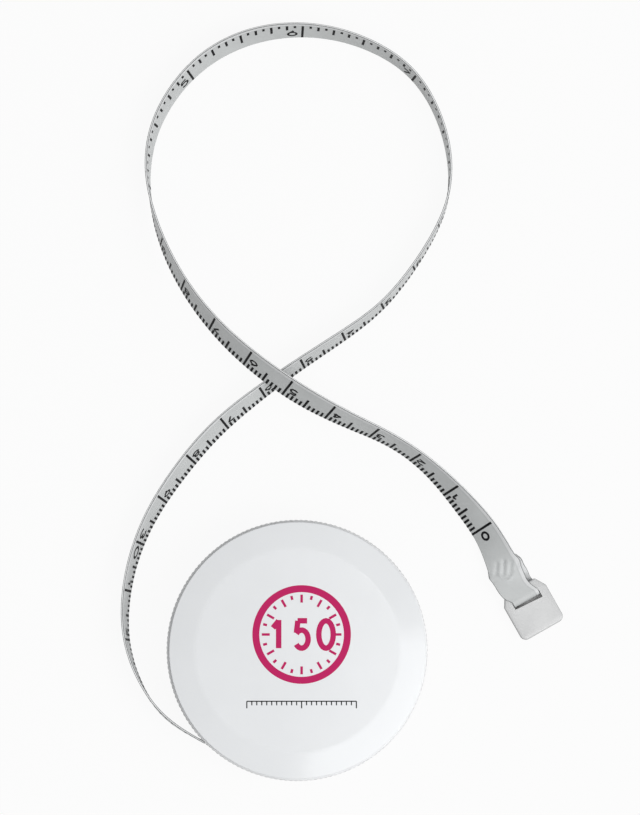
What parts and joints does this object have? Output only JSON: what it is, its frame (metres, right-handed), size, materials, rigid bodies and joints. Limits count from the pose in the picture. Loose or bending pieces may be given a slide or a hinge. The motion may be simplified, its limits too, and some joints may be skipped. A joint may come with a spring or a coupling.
{
  "type": "cloth tape measure",
  "caption": "Round pocket tape measure whose whole face is the rewind button, with a looped cloth tape and a slotted end tab.",
  "frame": {"origin": "middle of the case's flat rear face, on the arbor's axis", "axes": "+Z from the rear face to the push cap, +Y from the case towards the far loop of the tape, +X towards the end tab"},
  "size_m": [0.0896, 0.1535, 0.013],
  "materials": {
    "shell": "moulded, satin gloss",
    "cap": "moulded, glossy",
    "reel": "moulded",
    "tab": "moulded, slightly translucent",
    "tape": "coated cloth, semi-gloss, printed",
    "steel": "turned",
    "spring_steel": "blued spring strip and wire",
    "brass": "plain",
    "pad": "matte"
  },
  "bodies": {
    "case": {"body_shell": "shell", "arbor": "steel", "arbor_lock_ring": "spring_steel", "arbor_washer": "brass", "arbor_clip": "spring_steel", "return_spring": "spring_steel", "tape_run": "tape", "tape_free": "tape"},
    "reel": {"reel_drum": "reel", "reel_flange": "reel", "spring_cover": "reel", "reel_bush": "brass", "mainspring": "spring_steel", "tape_winding": "tape", "tape_rivet": "brass"},
    "press": {"push_cap": "cap", "press_stem": "steel", "cross_pin": "steel", "brake_plate": "reel", "brake_pad_1": "pad", "brake_pad_2": "pad", "brake_pad_3": "pad"},
    "tab": {"tape_fold": "tape", "end_tab": "tab"}
  },
  "joints": [
    {"name": "reel_spin", "type": "hinge", "parent": "case", "child": "reel", "pos_m": [0, 0, 0.006], "axis": [0, 0, 1], "range_deg": [-3730, 950], "stiffness_Nm_per_rad": 0.000213, "springref_deg": 4234.16, "deforming": ["mainspring"]},
    {"name": "button_press", "type": "slide", "parent": "case", "child": "press", "axis": [0, 0, -1], "range_m": [0, 0.0008], "stiffness_N_per_m": 2000, "springref_m": -0.002, "deforming": ["return_spring"]},
    {"name": "end_tab_swing", "type": "hinge", "parent": "case", "child": "tab", "pos_m": [0.04116, 0.01877, 0.00293], "axis": [0.8268, 0.3463, 0.4432], "range_deg": [-80, 80]}
  ]
}
